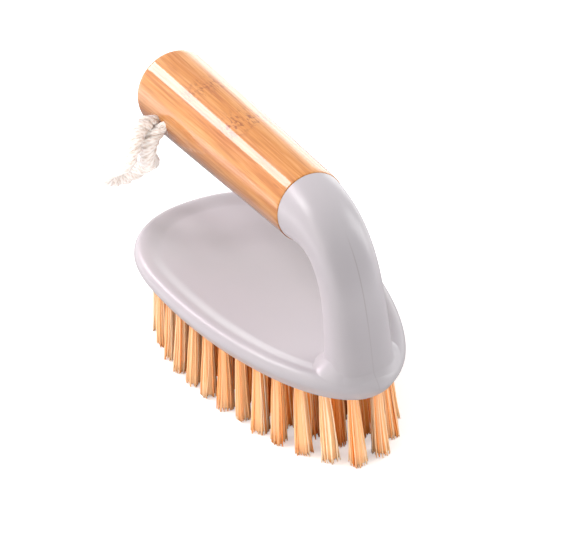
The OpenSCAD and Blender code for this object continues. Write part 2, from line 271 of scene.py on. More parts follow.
def ease(u: float | np.ndarray) -> float | np.ndarray:
    """A smooth step from 0 to 1: u^2 (3 - 2 u)."""
    return u * u * (3 - 2 * u)


def travelled(line: np.ndarray) -> np.ndarray:
    """Distance along a line of points, from its first one."""
    return np.concatenate([[0.0], np.cumsum(np.linalg.norm(np.diff(line, axis=0), axis=1))])


def at_distances(line: np.ndarray, distances: np.ndarray) -> np.ndarray:
    """Points at given distances along a line of points."""
    known = travelled(line)
    return np.stack([np.interp(distances, known, column) for column in line.T], -1)


def axes_at(right: np.ndarray, up: np.ndarray, back: np.ndarray, place: np.ndarray) -> Matrix:
    """A matrix with the three axes and the place as its columns."""
    rows = [[right[i], up[i], back[i], place[i]] for i in range(3)]
    return Matrix(rows + [[0.0, 0.0, 0.0, 1.0]])


def linked(name: str, data: bpy.types.ID) -> bpy.types.Object:
    """Makes an object of a mesh, light or camera and links it to the scene."""
    made = bpy.data.objects.new(name, data)
    bpy.context.scene.collection.objects.link(made)
    return made


def make_mesh(name: str, points: np.ndarray, faces: list, smooth: bool = True) -> bpy.types.Object:
    """Makes an object at the origin from points in millimetres.

    Args:
        name: The object's name.
        points: An array of shape (n, 3).
        faces: Lists of point indices.
        smooth: Whether the faces are shaded smooth.

    Returns:
        The linked object.
    """
    mesh = bpy.data.meshes.new(name)
    mesh.from_pydata((np.asarray(points) * MM).tolist(), [], faces)
    mesh.polygons.foreach_set("use_smooth", np.full(len(mesh.polygons), smooth))
    mesh.update()
    return linked(name, mesh)


def band_faces(rows: int, sides: int, start: int = 0) -> np.ndarray:
    """Quads between successive closed rings of points.

    Args:
        rows: How many rings.
        sides: Points in a ring.
        start: Index of the first ring's first point.

    Returns:
        An array of shape (faces, 4).
    """
    row, col = np.meshgrid(np.arange(rows - 1), np.arange(sides), indexing="ij")
    near = start + row * sides + col
    beside = start + row * sides + (col + 1) % sides
    return np.stack([near, beside, beside + sides, near + sides], -1).reshape(-1, 4)


def loft(name: str, rings: np.ndarray) -> bpy.types.Object:
    """Makes a closed surface through rings of points, with a face on the first and on the last.

    Args:
        name: The object's name.
        rings: An array of shape (rows, sides, 3), in millimetres.

    Returns:
        The linked object.
    """
    rows, sides = rings.shape[:2]
    faces = band_faces(rows, sides).tolist()
    faces.append(list(range(sides))[::-1])
    faces.append(list(range((rows - 1) * sides, rows * sides)))
    return make_mesh(name, rings.reshape(-1, 3), faces)


def turned(name: str, profile: list[tuple[float, float]], sides: int) -> bpy.types.Object:
    """Makes a body turned about the handle's axis.

    Args:
        name: The object's name.
        profile: Distance from the joint and radius of each ring, in millimetres.
        sides: Points in a ring.

    Returns:
        The linked object.
    """
    cos, sin = circle(around(sides)).T
    rings = [
        np.column_stack([
            np.full(sides, HANDLE.joint_x - along), radius * sin, HANDLE.axis_z + radius * cos,
        ])
        for along, radius in profile
    ]
    return loft(name, np.array(rings))


def point_values(piece: bpy.types.Object, name: str, values: np.ndarray) -> None:
    """Stores one number a point as an attribute for the shaders."""
    attribute = piece.data.attributes.new(name, "FLOAT", "POINT")
    attribute.data.foreach_set("value", np.asarray(values, np.float32).ravel())


def join(pieces: list[bpy.types.Object], name: str) -> bpy.types.Object:
    """Joins objects into the first one and names the result."""
    with bpy.context.temp_override(active_object=pieces[0], selected_editable_objects=pieces):
        bpy.ops.object.join()
    pieces[0].name = name
    pieces[0].data.name = name
    return pieces[0]


def outline(angles: np.ndarray, inset: float) -> np.ndarray:
    """The head's outline drawn in by an inset.

    Args:
        angles: Angles round the outline, in radians, from the point.
        inset: How far it is drawn in, in millimetres.

    Returns:
        X and Y of each point, shape (n, 2).
    """
    cos, sin = np.cos(angles), np.sin(angles)
    power = np.where(cos < 0, HEAD.tail_power, HEAD.nose_power)
    reach = np.where(cos < 0, HEAD.wide_at - inset, HEAD.nose_l - inset * HEAD.nose_draw)
    x = HEAD.wide_x + reach * squared(cos, power)
    y = (HEAD.width / 2 - inset) * squared(sin, power)
    return np.stack([x, y], -1)


# Shader nodes


class Graph:
    """Adds shader nodes to one node tree round its main shader."""

    def __init__(self, tree: bpy.types.NodeTree) -> None:
        """Keeps the tree and its main shader, a surface's or the surround's."""
        self.tree = tree
        self.shader = tree.nodes.get("Principled BSDF") or tree.nodes["Background"]

    def feed(self, target: Socket, value: object) -> None:
        """Links a socket to an input, or sets the input to a plain value."""
        if isinstance(value, Socket):
            self.tree.links.new(value, target)
        else:
            target.default_value = value

    def give(self, name: str, value: object) -> None:
        """Links or sets an input of the main shader."""
        self.feed(self.shader.inputs[name], value)

    def show(self, shader: Socket) -> None:
        """Makes a shader the material's surface."""
        self.feed(self.tree.nodes["Material Output"].inputs["Surface"], shader)

    def add(self, kind: str, **values: object) -> Node:
        """Adds a node and sets its properties and inputs.

        Args:
            kind: The node's type name after "ShaderNode".
            **values: Properties by name, and inputs by name with spaces as underscores or by "in0" to "in9".

        Returns:
            The node.
        """
        node = self.tree.nodes.new(f"ShaderNode{kind}")
        for key, value in values.items():
            if key.startswith("in") and key[2:].isdigit():
                self.feed(node.inputs[int(key[2:])], value)
            elif hasattr(node, key):
                setattr(node, key, value)
            else:
                self.feed(node.inputs[key.replace("_", " ")], value)
        return node

    def noise(self, scale: Triple, detail: float, roughness: float = 0.5) -> Socket:
        """Noise in object space.

        Args:
            scale: How many waves a metre has on each axis, so 340 is a wave of 3 mm.
            detail: How many finer layers are added.
            roughness: How strong each finer layer is.

        Returns:
            The noise, between 0 and 1.
        """
        mapped = self.add("Mapping", in0=self.where(), Scale=scale).outputs[0]
        made = self.add("TexNoise", Vector=mapped, Scale=1.0, Detail=detail, Roughness=roughness)
        return made.outputs["Fac"]

    def where(self) -> Socket:
        """The place in object space, in metres."""
        return self.add("TexCoord").outputs["Object"]

    def part(self, vector: Socket, axis: str) -> Socket:
        """X, Y or Z of a vector."""
        return self.add("SeparateXYZ", in0=vector).outputs[axis]

    def value_of(self, attribute: str) -> Socket:
        """A number stored on the mesh's points."""
        return self.add("Attribute", attribute_name=attribute).outputs["Fac"]

    def calc(self, operation: str, first: object, second: object = 0.0, clamp: bool = False) -> Socket:
        """One arithmetic node on sockets or values."""
        return self.add("Math", operation=operation, in0=first, in1=second, use_clamp=clamp).outputs[0]

    def product(self, first: object, *others: object) -> Socket:
        """Sockets or values multiplied one after another."""
        for other in others:
            first = self.calc("MULTIPLY", first, other)
        return first

    def over(self, value: Socket, threshold: float, gain: float) -> Socket:
        """How far a value is over a threshold: gain (value - threshold), held between 0 and 1."""
        return self.calc("MULTIPLY", self.calc("SUBTRACT", value, threshold), gain, clamp=True)

    def near(self, value: Socket, middle: float, reach: float) -> Socket:
        """How near a value is to a middle: 1 - |value - middle| / reach, held between 0 and 1."""
        off = self.calc("ABSOLUTE", self.calc("SUBTRACT", value, middle))
        return self.calc("SUBTRACT", 1.0, self.calc("DIVIDE", off, reach), clamp=True)

    def remap(
        self, value: Socket, start: tuple[float, float], end: tuple[float, float], curve: str = "LINEAR"
    ) -> Socket:
        """Maps one range onto another and holds the value at both ends.

        Args:
            value: What is mapped.
            start: The two values that it goes between.
            end: What those two values become.
            curve: The interpolation's type name.

        Returns:
            The mapped value.
        """
        made = self.add("MapRange", interpolation_type=curve, in0=value)
        for socket, held in zip(made.inputs[1:5], start + end):
            socket.default_value = held
        return made.outputs[0]

    def ramp(self, value: Socket, stops: list[tuple[float, str]]) -> Socket:
        """A colour ramp from (position, hex colour) stops."""
        node = self.add("ValToRGB", in0=value)
        elements = node.color_ramp.elements
        while len(elements) < len(stops):
            elements.new(0.5)
        for element, (position, colour) in zip(elements, stops):
            element.position = position
            element.color = linear(colour)
        return node.outputs["Color"]

    def mix(self, factor: object, first: Socket, second: Socket | str, blend: str = "MIX") -> Socket:
        """Mixes a colour with another one.

        Args:
            factor: How much of the second colour shows.
            first: The first colour.
            second: The second colour, a socket or a hex colour.
            blend: The blend's type name.

        Returns:
            The mixed colour.
        """
        node = self.add("Mix", data_type="RGBA", blend_type=blend)
        self.feed(node.inputs[0], factor)
        self.feed(node.inputs[6], first)
        self.feed(node.inputs[7], linear(second) if isinstance(second, str) else second)
        return node.outputs[2]

    def bump(self, height: Socket, strength: float, distance: float) -> None:
        """Feeds a height, in shares of a distance in metres, to the main shader's normal."""
        made = self.add("Bump", Height=height, Strength=strength, Distance=distance)
        self.give("Normal", made.outputs["Normal"])


def new_material(name: str) -> tuple[bpy.types.Material, Graph]:
    """Makes a material, and a graph for its nodes."""
    material = bpy.data.materials.new(name)
    material.use_nodes = True
    return material, Graph(material.node_tree)


# Materials


class Look(Enum):
    """The finishes in the scene."""

    HEAD = "head_plastic"
    PLATE = "plate_plastic"
    BAMBOO = "bamboo"
    BRISTLE = "bristle"
    ROPE = "rope_cotton"
    STAPLE = "staple_steel"
    SCREW = "screw_steel"


@dataclass(frozen=True)
class Coat:
    """The uniform part of a finish."""

    colour: str
    roughness: float
    metallic: float = 0.0
    specular: float = 0.5
    coat: float = 0.0
    coat_roughness: float = 0.1
    sheen: float = 0.0


COATS = {
    # Polypropylene from a polished mould: a satin gloss, with soft edges to what it reflects.
    Look.HEAD: Coat("C0BBBE", 0.34, coat=0.15, coat_roughness=0.2),
    # The same plastic from a plain mould: duller.
    Look.PLATE: Coat("BFB6B6", 0.45),
    # Turned bamboo under clear lacquer: matt grain below a sharp thin gloss.
    Look.BAMBOO: Coat("E3A066", 0.5, specular=0.35, coat=1.0, coat_roughness=0.035),
    # Stiff plant-coloured filament: a narrow shine along each one, and light that comes through.
    Look.BRISTLE: Coat("FFC98A", 0.42, specular=0.4),
    # Twisted cotton: no shine, and a pale fuzz at the edges.
    Look.ROPE: Coat("F4EDE2", 0.9, specular=0.15, sheen=0.4),
    # Flat drawn steel wire: grey metal with a brushed shine.
    Look.STAPLE: Coat("B9B9BC", 0.32, metallic=1.0),
    # Turned stainless steel: a brighter metal.
    Look.SCREW: Coat("C4C4C8", 0.26, metallic=1.0),
}


class MaterialKit:
    """Builds the procedural materials, each once."""

    LINE_HALF_WIDTH = 0.0003
    NODE_PATCHES = ((-0.011, 0.010, 1.0), (-0.041, 0.009, 0.7))
    NODE_TOP_Z = 0.0935

    def __init__(self) -> None:
        """Starts with no material made."""
        self.made: dict[Look, bpy.types.Material] = {}

    def get(self, look: Look) -> bpy.types.Material:
        """The material of a finish, made on its first use."""
        if look not in self.made:
            self.made[look] = self._make(look)
            log.info("material %s", look.value)
        return self.made[look]

    def _make(self, look: Look) -> bpy.types.Material:
        """Makes a finish: its uniform part, then its own pattern.

        Args:
            look: The finish.

        Returns:
            The material.
        """
        material, graph = new_material(look.value)
        coat = COATS[look]
        settings = {
            "Base Color": linear(coat.colour), "Roughness": coat.roughness, "Metallic": coat.metallic,
            "Specular IOR Level": coat.specular, "Coat Weight": coat.coat,
            "Coat Roughness": coat.coat_roughness, "Sheen Weight": coat.sheen,
        }
        for name, value in settings.items():
            graph.give(name, value)
        patterns = {
            Look.HEAD: self._moulded, Look.PLATE: self._moulded, Look.BAMBOO: self._bamboo,
            Look.BRISTLE: self._bristle, Look.ROPE: self._rope,
            Look.STAPLE: self._steel, Look.SCREW: self._steel,
        }
        patterns[look](graph)
        return material

    def _moulded(self, graph: Graph) -> None:
        """Glossy moulded plastic: faint clouding and the mould's parting line, which fades at both ends."""
        # The clouding is 45 mm across, as the plastic's flow leaves it.
        tint = graph.ramp(graph.noise((22.0, 22.0, 22.0), 2.0), [(0.3, "BEB9BD"), (0.7, "C3BEC1")])
        ahead = graph.part(graph.add("NewGeometry").outputs["Normal"], "X")
        height = graph.part(graph.where(), "Z")
        top_fade = graph.remap(height, (0.086, 0.078), (0.0, 1.0))
        low_fade = graph.remap(height, (0.062, 0.052), (0.0, 0.55))
        line = graph.product(
            graph.near(graph.part(graph.where(), "Y"), 0.0, self.LINE_HALF_WIDTH),
            graph.over(ahead, 0.35, 4.0),
            graph.calc("SUBTRACT", top_fade, low_fade, clamp=True),
        )
        graph.give("Base Color", graph.mix(graph.product(line, 0.38), tint, "8A7C78"))
        graph.bump(graph.product(line, -0.6), 0.2, 0.0002)

    def _bamboo(self, graph: Graph) -> None:
        """Lacquered bamboo: streaks, fine fibres, short dark pores, node marks, and painted shade that
        darkens the underside.
        """
        # Streaks are 3 mm wide and fibre bundles 0.8 mm. Fibres are finer than the render can show,
        # so their relief is drawn 0.24 mm wide.
        broad = graph.noise((3.0, 340.0, 340.0), 2.0)
        fine = graph.noise((5.0, 1300.0, 1300.0), 2.0, 0.6)
        thread = graph.noise((60.0, 4200.0, 4200.0), 2.0)
        streaks = graph.noise((11.0, 900.0, 900.0), 1.0)
        pores = graph.noise((55.0, 2600.0, 2600.0), 1.0)
        base = graph.ramp(broad, [(0.3, "C47228"), (0.44, "D4883A"), (0.56, "DE9648"), (0.72, "E8A862")])
        fibre = graph.ramp(fine, [(0.3, "AC6020"), (0.48, "D4883C"), (0.7, "F0B26E")])
        colour = graph.mix(0.45, base, fibre)
        colour = graph.mix(graph.product(graph.over(streaks, 0.58, 9.0), 0.42), colour, "B4642A")
        colour = graph.mix(graph.product(graph.over(pores, 0.62, 9.0), 0.35), colour, "A0541E")
        colour = graph.mix(self._node_marks(graph), colour, "964C1C")
        # Painted shade: the colour is multiplied darker from just above the handle's axis downwards, where
        # the handle turns away from the light.
        painted_underside_shade = graph.remap(graph.part(graph.where(), "Z"), (0.088, 0.078), (0.0, 1.0))
        graph.give("Base Color", graph.mix(painted_underside_shade, colour, "BDAE92", blend="MULTIPLY"))
        rough = COATS[Look.BAMBOO].roughness
        graph.give("Roughness", graph.remap(fine, (0.3, 0.7), (rough + 0.08, rough - 0.06)))
        relief = graph.calc("ADD", graph.product(fine, 0.6), graph.product(thread, 0.4))
        graph.bump(relief, 0.25, 0.00012)

    def _node_marks(self, graph: Graph) -> Socket:
        """Short dark dashes in two patches, where the cane's joints were, on the uppermost strip."""
        dash = graph.over(graph.noise((360.0, 950.0, 950.0), 2.0), 0.49, 7.0)
        top = graph.over(graph.part(graph.where(), "Z"), self.NODE_TOP_Z, 450.0)
        along = graph.part(graph.where(), "X")
        patches = [
            graph.product(graph.near(along, middle, reach), share)
            for middle, reach, share in self.NODE_PATCHES
        ]
        return graph.product(dash, top, graph.calc("ADD", *patches))

    def _bristle(self, graph: Graph) -> None:
        """Stiff filaments: each its own tone, with painted shade in the inner rings, the cores and near the
        roots, brown cut ends and some light through.
        """
        along = graph.value_of("along")
        stops = [(0.0, "F39A42"), (0.28, "FFC886"), (0.6, "FFE0B4"), (1.0, "FFF2DA")]
        # The stored tone mixes random tone with painted shade: the inner rings and the cores are set low,
        # towards deep orange.
        colour = graph.ramp(graph.value_of("tone"), stops)
        # Painted shade near the roots, under the head: the colour is mixed towards a deeper orange close to
        # the plate.
        colour = graph.mix(graph.remap(along, (0.08, 0.42), (0.4, 0.0)), colour, "FFBE7C")
        # Flecks are 1 mm across and 5 mm long, a few filaments each.
        fleck = graph.over(graph.noise((900.0, 900.0, 220.0), 1.0), 0.6, 2.5)
        colour = graph.mix(graph.product(fleck, 0.15), colour, "F8BC80")
        colour = graph.mix(graph.product(graph.over(along, 0.975, 60.0), 0.3), colour, "E0A066")
        graph.give("Base Color", colour)
        through = graph.add("BsdfTranslucent", Color=colour)
        blend = graph.add("MixShader", in0=0.5, in1=graph.shader.outputs[0], in2=through.outputs[0])
        graph.show(blend.outputs[0])

    def _rope(self, graph: Graph) -> None:
        """Cotton: soft off-white yarn, with painted shade, a warm brown, in the grooves between the strands
        and between the ribs.
        """
        # The tone changes every 3 mm. The yarn's fuzz is 0.7 mm, coarser than the real one, so that it shows.
        body = graph.ramp(graph.noise((320.0, 320.0, 320.0), 2.0), [(0.3, "ECE8E4"), (0.7, "FAF9F8")])
        # Painted shade: the grooves are mixed towards a warm brown.
        graph.give("Base Color", graph.mix(graph.value_of("groove"), body, "A87646"))
        graph.bump(graph.noise((1500.0, 1500.0, 1500.0), 3.0), 0.9, 0.0006)

    def _steel(self, graph: Graph) -> None:
        """Drawn steel: fine brushed variation in roughness and tone."""
        # Brush marks are 0.4 mm, coarser than real ones so that they show.
        streak = graph.noise((2500.0, 300.0, 300.0), 3.0)
        graph.give("Base Color", graph.ramp(streak, [(0.3, "A9A9AD"), (0.7, "CFCFD3")]))
        rough = graph.shader.inputs["Roughness"].default_value
        graph.give("Roughness", graph.remap(streak, (0.3, 0.7), (rough - 0.06, rough + 0.1)))


# Studio


@dataclass(frozen=True)
class Panel:
    """A rectangular softbox: where it hangs from the object, in metres, and its light."""

    name: str
    way: Triple
    distance: float
    size: tuple[float, float]
    watts: float
    tint: str = "FFFFFF"
    twist_deg: float = 0.0
    soft_only: bool = False


class Studio:
    """The camera, floor and lights, none of which is part of the object."""

    WIDTH_PX = 567.0
    FOCAL_PX = 1785.6
    SENSOR_MM = 36.0
    PLACE = (491.12, -233.04, 381.96)
    RIGHT = (0.46875, 0.88118, -0.06155)
    UP = (-0.44993, 0.29814, 0.84183)
    AIM = (0.0, 0.0, 0.05)
    GLOW_WAY = (-0.77, 0.635, -0.05)
    GLOW_FROM = 0.92
    GLOW = 2.0
    SKY_LOW_HIGH = (1.05, 0.66)
    SKY_FRONT = 0.5
    CLIP = (0.01, 20.0)
    FLOOR_HALF = 3000.0
    FLOOR_Z = -0.05
    FLOOR_GREY = 0.93
    FLOOR_LIFT = 0.42
    # Painted shade and light in the floor's reflections: how much darker glossy rays see it near the object,
    # and the distances in metres over which that gives way to an emission.
    FLOOR_REFLECTION_SHADE = 0.6
    FLOOR_NEAR_FAR = (0.22, 0.45)
    # name, direction, distance, size, watts
    PANELS = (
        Panel("strip", (-0.76, -0.34, 0.555), 1.6, (0.40, 1.0), 11.4, tint="FFEAF6", twist_deg=-39.0),
        Panel("left", (-0.34, -0.545, 0.766), 1.4, (0.4, 0.45), 6.2),
        Panel("key", (0.10, -0.86, 0.50), 1.4, (0.9, 0.7), 3.2, tint="FFF8F2"),
        Panel("side", (0.25, 1.0, 0.55), 1.5, (0.7, 1.1), 10.0),
        Panel("low", (0.0, -0.99, 0.06), 1.4, (1.2, 0.5), 16.0, tint="FFF8F0", soft_only=True),
        Panel("front", (0.97, -0.1, 0.05), 1.4, (1.2, 0.5), 21.0, tint="FFF8F0", soft_only=True),
    )

    def make_camera(self) -> None:
        """Puts the scene's camera at the photograph's angle."""
        data = bpy.data.cameras.new("view")
        data.sensor_width = self.SENSOR_MM
        data.lens = self.FOCAL_PX / self.WIDTH_PX * data.sensor_width
        data.clip_start, data.clip_end = self.CLIP
        camera = linked("view", data)
        right = unit(np.array(self.RIGHT))
        back = unit(np.cross(right, self.UP))
        camera.matrix_world = axes_at(right, np.cross(back, right), back, np.array(self.PLACE) * MM)
        bpy.context.scene.camera = camera
        log.info("camera %.1f mm lens", data.lens)

    def _hang(self, panel: Panel, soft: list[bpy.types.Object]) -> None:
        """Hangs a softbox so that it faces the object.

        Args:
            panel: The softbox.
            soft: The rope and the bristles, which some softboxes light alone.
        """
        data = bpy.data.lights.new(panel.name, "AREA")
        data.shape = "RECTANGLE"
        data.size, data.size_y = panel.size
        data.energy = panel.watts
        data.color = linear(panel.tint)[:3]
        lamp = linked(panel.name, data)
        if panel.soft_only:
            flagged = bpy.data.collections.new(f"lit_by_{panel.name}")
            for piece in soft:
                flagged.objects.link(piece)
            lamp.light_linking.receiver_collection = flagged
        back = unit(np.array(panel.way))
        level = unit(np.cross(np.array([0.0, 0.0, 1.0]), back))
        upright = np.cross(back, level)
        cos, sin = math.cos(math.radians(panel.twist_deg)), math.sin(math.radians(panel.twist_deg))
        lamp.matrix_world = axes_at(
            level * cos + upright * sin, upright * cos - level * sin, back, back * panel.distance + self.AIM
        )

    def make_light(self, soft: list[bpy.types.Object]) -> None:
        """Soft studio light: a pale surround, paler low down and behind the object, and the softboxes.

        Args:
            soft: The rope and the bristles.
        """
        scene = bpy.context.scene
        scene.world = bpy.data.worlds.new("surround")
        scene.world.use_nodes = True
        graph = Graph(scene.world.node_tree)
        way = graph.add("TexCoord").outputs["Generated"]
        level = graph.remap(graph.part(way, "Z"), (0.0, 0.5), self.SKY_LOW_HIGH)
        ahead = graph.remap(graph.part(way, "X"), (0.0, 0.9), (1.0, self.SKY_FRONT))
        toward = graph.add("VectorMath", operation="DOT_PRODUCT", in0=way, in1=self.GLOW_WAY)
        aligned = toward.outputs["Value"]
        glow = graph.remap(aligned, (self.GLOW_FROM, 1.0), (0.0, self.GLOW), curve="SMOOTHSTEP")
        graph.give("Color", linear("FFFFFF"))
        graph.give("Strength", graph.calc("ADD", graph.product(level, ahead), glow))
        for panel in self.PANELS:
            self._hang(panel, soft)
        scene.view_settings.view_transform = "Standard"

    def make_floor(self) -> None:
        """A plain pale floor under the bristle tips, with painted shade where glossy pieces reflect it near
        the object and painted light where they reflect it further out.
        """
        half, low = self.FLOOR_HALF, self.FLOOR_Z
        corners = np.array([[-half, -half, low], [half, -half, low], [half, half, low], [-half, half, low]])
        floor = make_mesh("floor", corners, [[0, 1, 2, 3]], smooth=False)
        material, graph = new_material("floor")
        graph.give("Roughness", 0.9)
        graph.give("Specular IOR Level", 0.1)
        rays = graph.add("LightPath")
        seen, glossy = rays.outputs["Is Camera Ray"], rays.outputs["Is Glossy Ray"]
        off = graph.add("VectorMath", operation="LENGTH", in0=graph.where()).outputs["Value"]
        far = graph.remap(off, self.FLOOR_NEAR_FAR, (0.0, 1.0))
        # Painted shade in reflections only: glossy rays see the floor darker within 0.22 m of the object,
        # fading out by 0.45 m.
        painted_reflection_shade = graph.product(glossy, graph.remap(far, (0.0, 1.0), (self.FLOOR_REFLECTION_SHADE, 0.0)))
        graph.give("Base Color", graph.calc("SUBTRACT", self.FLOOR_GREY, painted_reflection_shade))
        # The camera sees the floor evenly lifted towards white; glossy rays see painted light, an emission
        # that grows from 0.22 m to full beyond 0.45 m.
        lift = graph.calc("ADD", graph.product(seen, self.FLOOR_LIFT), graph.product(glossy, far))
        glow = graph.add("Emission", Strength=lift)
        graph.show(graph.add("AddShader", in0=graph.shader.outputs[0], in1=glow.outputs[0]).outputs[0])
        floor.data.materials.append(material)


# Pieces


class Piece:
    """A part of the object that rides on the body and stands for CAD nodes."""

    look = Look.HEAD
    stands_for: tuple[str, ...] = ()

    def __init__(self, kit: MaterialKit) -> None:
        """Keeps the material kit."""
        self.kit = kit

    def build(self) -> bpy.types.Object:
        """Makes the mesh; each kind of piece has its own."""
        raise NotImplementedError

    def place(self) -> bpy.types.Object:
        """Builds the piece, gives it its finish and body, and hides what it replaces.

        Returns:
            The finished object.
        """
        piece = self.build()
        piece.data.materials.clear()
        piece.data.materials.append(self.kit.get(self.look))
        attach(piece, BODY)
        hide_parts(*self.stands_for)
        log.info("%s: %d faces", piece.name, len(piece.data.polygons))
        return piece


class Rope(Piece):
    """The doubled cotton rope, laid from three strands, with loose fibres."""

    look = Look.ROPE
    stands_for = ("rope_loop",)
    STRANDS = 3
    SIDES = 20
    STEPS = 760
    CURVE_STEPS = 24
    TIGHT = 0.86
    FLUFF = 1.38
    FLUFF_FROM = 1.0
    FLUFF_WITHIN = 6.0
    SWELL = 0.06
    STRAND_SHARE = 0.56
    LAY_SHARE = 0.48
    RIBS = 7
    RIB_DEPTH = 0.09
    RIB_PITCH = 3.4
    FIBRES = 900
    FIBRE_STEPS = 5
    FIBRE_R = 0.028
    FIBRE_SEED = 7
    FIBRE_REACH = (0.5, 2.2)
    FIBRE_LIFT = (0.15, 0.55)
    FIBRE_CURL = 0.35
    END_STEPS = 90

    def route(self) -> np.ndarray:
        """The route's points, in millimetres, from one blind end in the hole to the other."""
        out = HANDLE.hole_way
        aside = np.array([ROPE.legs_apart, 0.0, 0.0])
        deep = [HANDLE.hole_depth, HANDLE.hole_depth / 2, 0.0]
        first = [HANDLE.mouth - aside - out * d for d in deep]
        last = [HANDLE.mouth + aside - out * d for d in deep[::-1]]
        return np.array(first + [HANDLE.mouth + np.array(p) for p in ROPE.free] + last)

    def centre_line(self) -> np.ndarray:
        """A smooth curve through the route, evenly stepped.

        Between two points it is the cubic whose slope at each is half the step between its neighbours.
        """
        route = self.route()
        padded = np.vstack([2 * route[0] - route[1], route, 2 * route[-1] - route[-2]])
        u = np.linspace(0, 1, self.CURVE_STEPS, endpoint=False)[:, None]
        runs = [
            0.5 * (2 * b + (c - a) * u + (2 * a - 5 * b + 4 * c - d) * u**2 + (3 * b - a - 3 * c + d) * u**3)
            for a, b, c, d in zip(padded, padded[1:], padded[2:], padded[3:])
        ]
        line = np.vstack(runs + [route[-1:]])
        return at_distances(line, np.linspace(0, travelled(line)[-1], self.STEPS))

    @staticmethod
    def carried(line: np.ndarray) -> tuple[np.ndarray, np.ndarray]:
        """Two directions across a line, carried along it without twist.

        Args:
            line: The line's points.

        Returns:
            The two directions at each point.
        """
        way = headings(line)
        side = np.zeros_like(line)
        side[0] = unit(np.cross(way[0], [0.3, 0.2, 1.0]))
        for i in range(1, len(line)):
            side[i] = unit(side[i - 1] - way[i] * (side[i - 1] @ way[i]))
        return side, np.cross(way, side)

    def build(self) -> bpy.types.Object:
        """Lays the strands round the centre line: thin where they leave the hole, then fluffed out.

        Returns:
            The rope.
        """
        line = self.centre_line()
        side, up = self.carried(line)
        length = travelled(line)[-1]
        along = np.linspace(0, length, len(line))
        from_mouth = np.minimum(along, length - along) - HANDLE.hole_depth
        loosened = np.clip((from_mouth - self.FLUFF_FROM) / self.FLUFF_WITHIN, 0, 1)
        radius = ROPE.diameter / 2 * (self.TIGHT + (self.FLUFF - self.TIGHT) * loosened)
        angle = around(self.SIDES)
        pieces = []
        for strand in range(self.STRANDS):
            turn = TURN * (along / ROPE.turn_length + strand / self.STRANDS)
            swell = 1 + self.SWELL * np.sin(along * 1.7 + strand * 2.1) * np.sin(along * 0.63 + strand)
            out = swung(side, up, turn)
            centre = line + out * (radius * self.LAY_SHARE * swell)[:, None]
            heading = headings(centre)
            across = unit(np.cross(heading, out))
            away = np.cross(across, heading)
            wave = self.RIBS * angle[None, :] + along[:, None] * TURN / self.RIB_PITCH
            rib = 1 + self.RIB_DEPTH * np.cos(wave)
            ring_r = (radius * self.STRAND_SHARE * swell)[:, None] * rib
            rings = (
                centre[:, None, :]
                + away[:, None, :] * (np.cos(angle)[None, :] * ring_r)[:, :, None]
                + across[:, None, :] * (np.sin(angle)[None, :] * ring_r)[:, :, None]
            )
            piece = loft(f"strand_{strand}", rings)
            # Painted shade in the grooves where the strands meet and between the ribs, stored on the points
            # for the rope's colour.
            strand_gap_shade = np.clip(0.45 - np.cos(angle)[None, :], 0, 1) ** 1.2
            rib_gap_shade = np.clip((1 - rib) / self.RIB_DEPTH, 0, 1) ** 2
            point_values(piece, "groove", np.clip(strand_gap_shade + rib_gap_shade * 0.45, 0, 1))
            pieces.append(piece)
        pieces.append(self._fibres(line, side, up))
        return join(pieces, "hanging_rope")

    def _fibres(self, line: np.ndarray, side: np.ndarray, up: np.ndarray) -> bpy.types.Object:
        """Short loose cotton fibres that stand off the strands.

        Args:
            line: The rope's centre line.
            side: A direction across it at each point.
            up: The other direction across it.

        Returns:
            One mesh of all the fibres, each a closed three-sided tube.
        """
        rng = np.random.default_rng(self.FIBRE_SEED)
        count, steps, corners = self.FIBRES, self.FIBRE_STEPS, 3
        at = rng.integers(self.END_STEPS, len(line) - self.END_STEPS, count)
        turn = rng.uniform(0, TURN, count)
        out = swung(side[at], up[at], turn)
        way = headings(line)[at] * rng.choice([-1.0, 1.0], count)[:, None]
        reach = rng.uniform(*self.FIBRE_REACH, count)[:, None]
        curl = rng.normal(0, self.FIBRE_CURL, (count, 3))
        start = line[at] + out * ROPE.diameter * 0.5
        u = np.linspace(0, 1, steps)[None, :, None]
        lift = rng.uniform(*self.FIBRE_LIFT, count)[:, None]
        rise = (out * lift + curl * 0.3)[:, None, :] * u**1.6 * 1.4
        spine = start[:, None, :] + (way * reach)[:, None, :] * u + rise
        across = unit(np.cross(way, out))
        section = np.array([[1.0, 0.0], [-0.5, 0.87], [-0.5, -0.87]]) * self.FIBRE_R
        rings = (
            spine[:, :, None, :]
            + out[:, None, None, :] * section[None, None, :, :1]
            + across[:, None, None, :] * section[None, None, :, 1:]
        )
        per = steps * corners
        faces = np.concatenate([band_faces(steps, corners, i * per) for i in range(count)]).tolist()
        for i in range(0, count * per, per):
            faces += [[i + 2, i + 1, i], [i + per - 3, i + per - 2, i + per - 1]]
        piece = make_mesh("fibres", rings.reshape(-1, 3), faces)
        point_values(piece, "groove", np.zeros(count * per))
        return piece

    def place(self) -> bpy.types.Object:
        """Returns:
            The finished object.
        """
        piece = super().place()
        line = self.centre_line()
        tuple(HANDLE.mouth * MM)
        return piece


